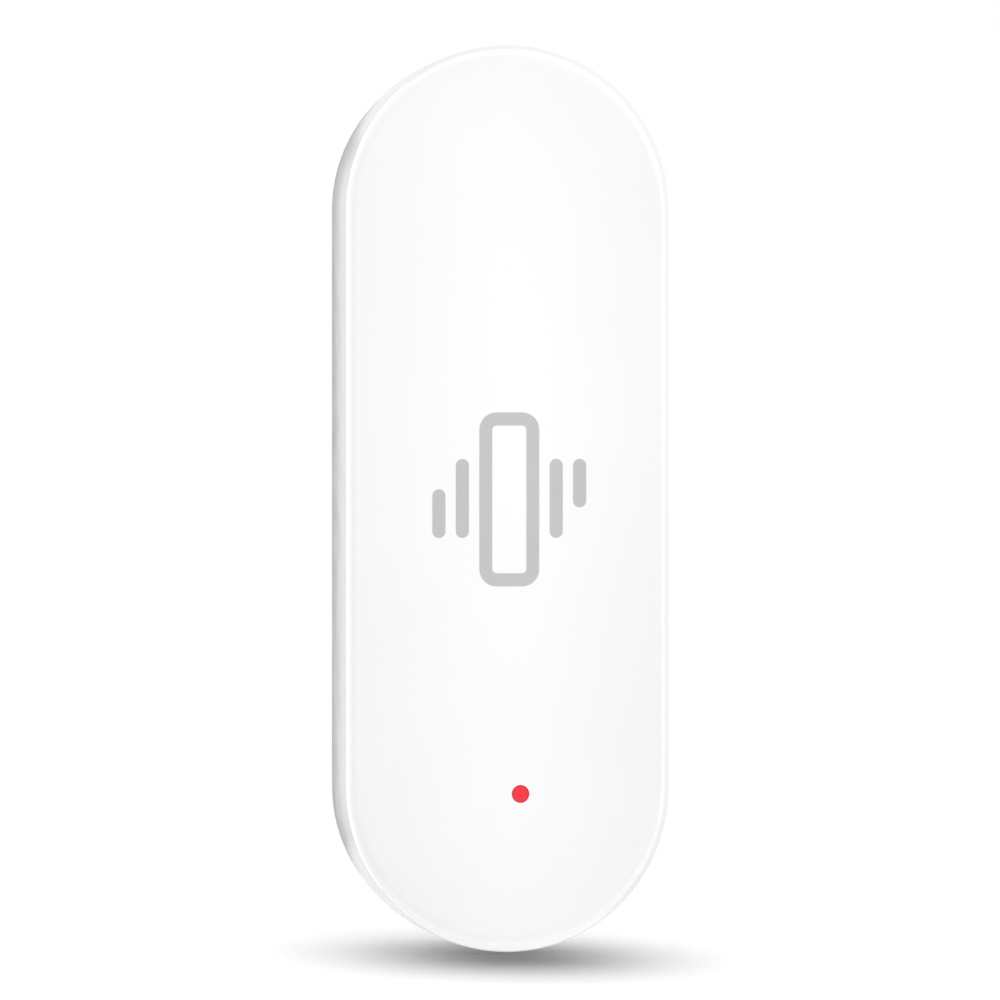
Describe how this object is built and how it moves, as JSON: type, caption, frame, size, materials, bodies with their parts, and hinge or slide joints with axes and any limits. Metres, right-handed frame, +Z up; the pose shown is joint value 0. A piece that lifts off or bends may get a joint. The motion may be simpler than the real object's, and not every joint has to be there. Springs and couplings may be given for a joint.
{
  "type": "vibration sensor tag",
  "caption": "White pill-shaped wireless vibration sensor with a red status lens, a clip-on back cover with an adhesive pad, and a coin cell, radio module and ball sensor on a board inside.",
  "frame": {"origin": "centre of the flat adhesive face on the back, which sticks to the door or window", "axes": "+Z up along the tag's length, away from the status lens; +Y out of the adhesive face, into the surface it sticks to, so the front face looks along -Y; X across the tag"},
  "size_m": [0.0264, 0.013, 0.073],
  "materials": {
    "housing": "fine satin moulding, white",
    "cover": "fine satin moulding, white",
    "lens_red": "clear red, polished tip",
    "foam": "double-sided foam tape with a paper liner",
    "tray": "black moulding, fine spark texture",
    "board": "green solder mask",
    "module_board": "dark blue solder mask",
    "steel": "nickel-plated spring steel",
    "tin": "tinned, dull",
    "screw_steel": "black zinc plate",
    "can_steel": "nickel plate, finely spun",
    "gold": "gold-plated copper",
    "seal": "black polypropylene",
    "pellet": "pressed black powder",
    "separator": "non-woven sheet",
    "soft_metal": "dull, soft",
    "chip_black": "moulded, matt",
    "lamp_white": "white body",
    "lamp_clear": "clear resin",
    "tan": "matt, light brown",
    "tantalum": "moulded, yellow, matt",
    "button_grey": "black, matt"
  },
  "bodies": {
    "back": {"back_cover": "cover", "cover_hooks": "cover", "adhesive_pad": "foam"},
    "front": {"front_housing": "housing", "light_guide": "lens_red", "circuit_board": "board", "board_screws": "screw_steel", "status_led_base": "lamp_white", "status_led_lens": "lamp_clear", "battery_tray": "tray", "positive_contact": "steel", "negative_contact": "steel", "cell_can": "can_steel", "cell_seal": "seal", "cell_cap": "can_steel", "cell_cathode": "pellet", "cell_separator": "separator", "cell_anode": "soft_metal", "radio_board": "module_board", "radio_shield": "steel", "radio_chip": "chip_black", "radio_crystal": "tin", "radio_antenna": "gold", "sensor_sleeve": "tray", "sensor_end_caps": "gold", "button_base": "button_grey", "button_frame": "steel", "button_dome": "steel", "button_terminals": "tin", "buffer_capacitor": "tantalum", "chip_capacitors": "tan", "chip_resistors": "chip_black", "chip_end_caps": "tin"},
    "ball": {"sensor_ball": "gold"},
    "button": {"button_plunger": "button_grey"}
  },
  "joints": [
    {"name": "body_release", "type": "slide", "parent": "back", "child": "front", "axis": [0, -1, 0], "range_m": [0, 0.012], "deforming": ["cover_hooks"]},
    {"name": "ball_roll", "type": "slide", "parent": "front", "child": "ball", "axis": [1, 0, 0], "range_m": [-0.0003, 0.0003]},
    {"name": "button_press", "type": "slide", "parent": "front", "child": "button", "axis": [0, -1, 0], "range_m": [0, 0.00025], "stiffness_N_per_m": 6400, "deforming": ["button_dome"]}
  ]
}
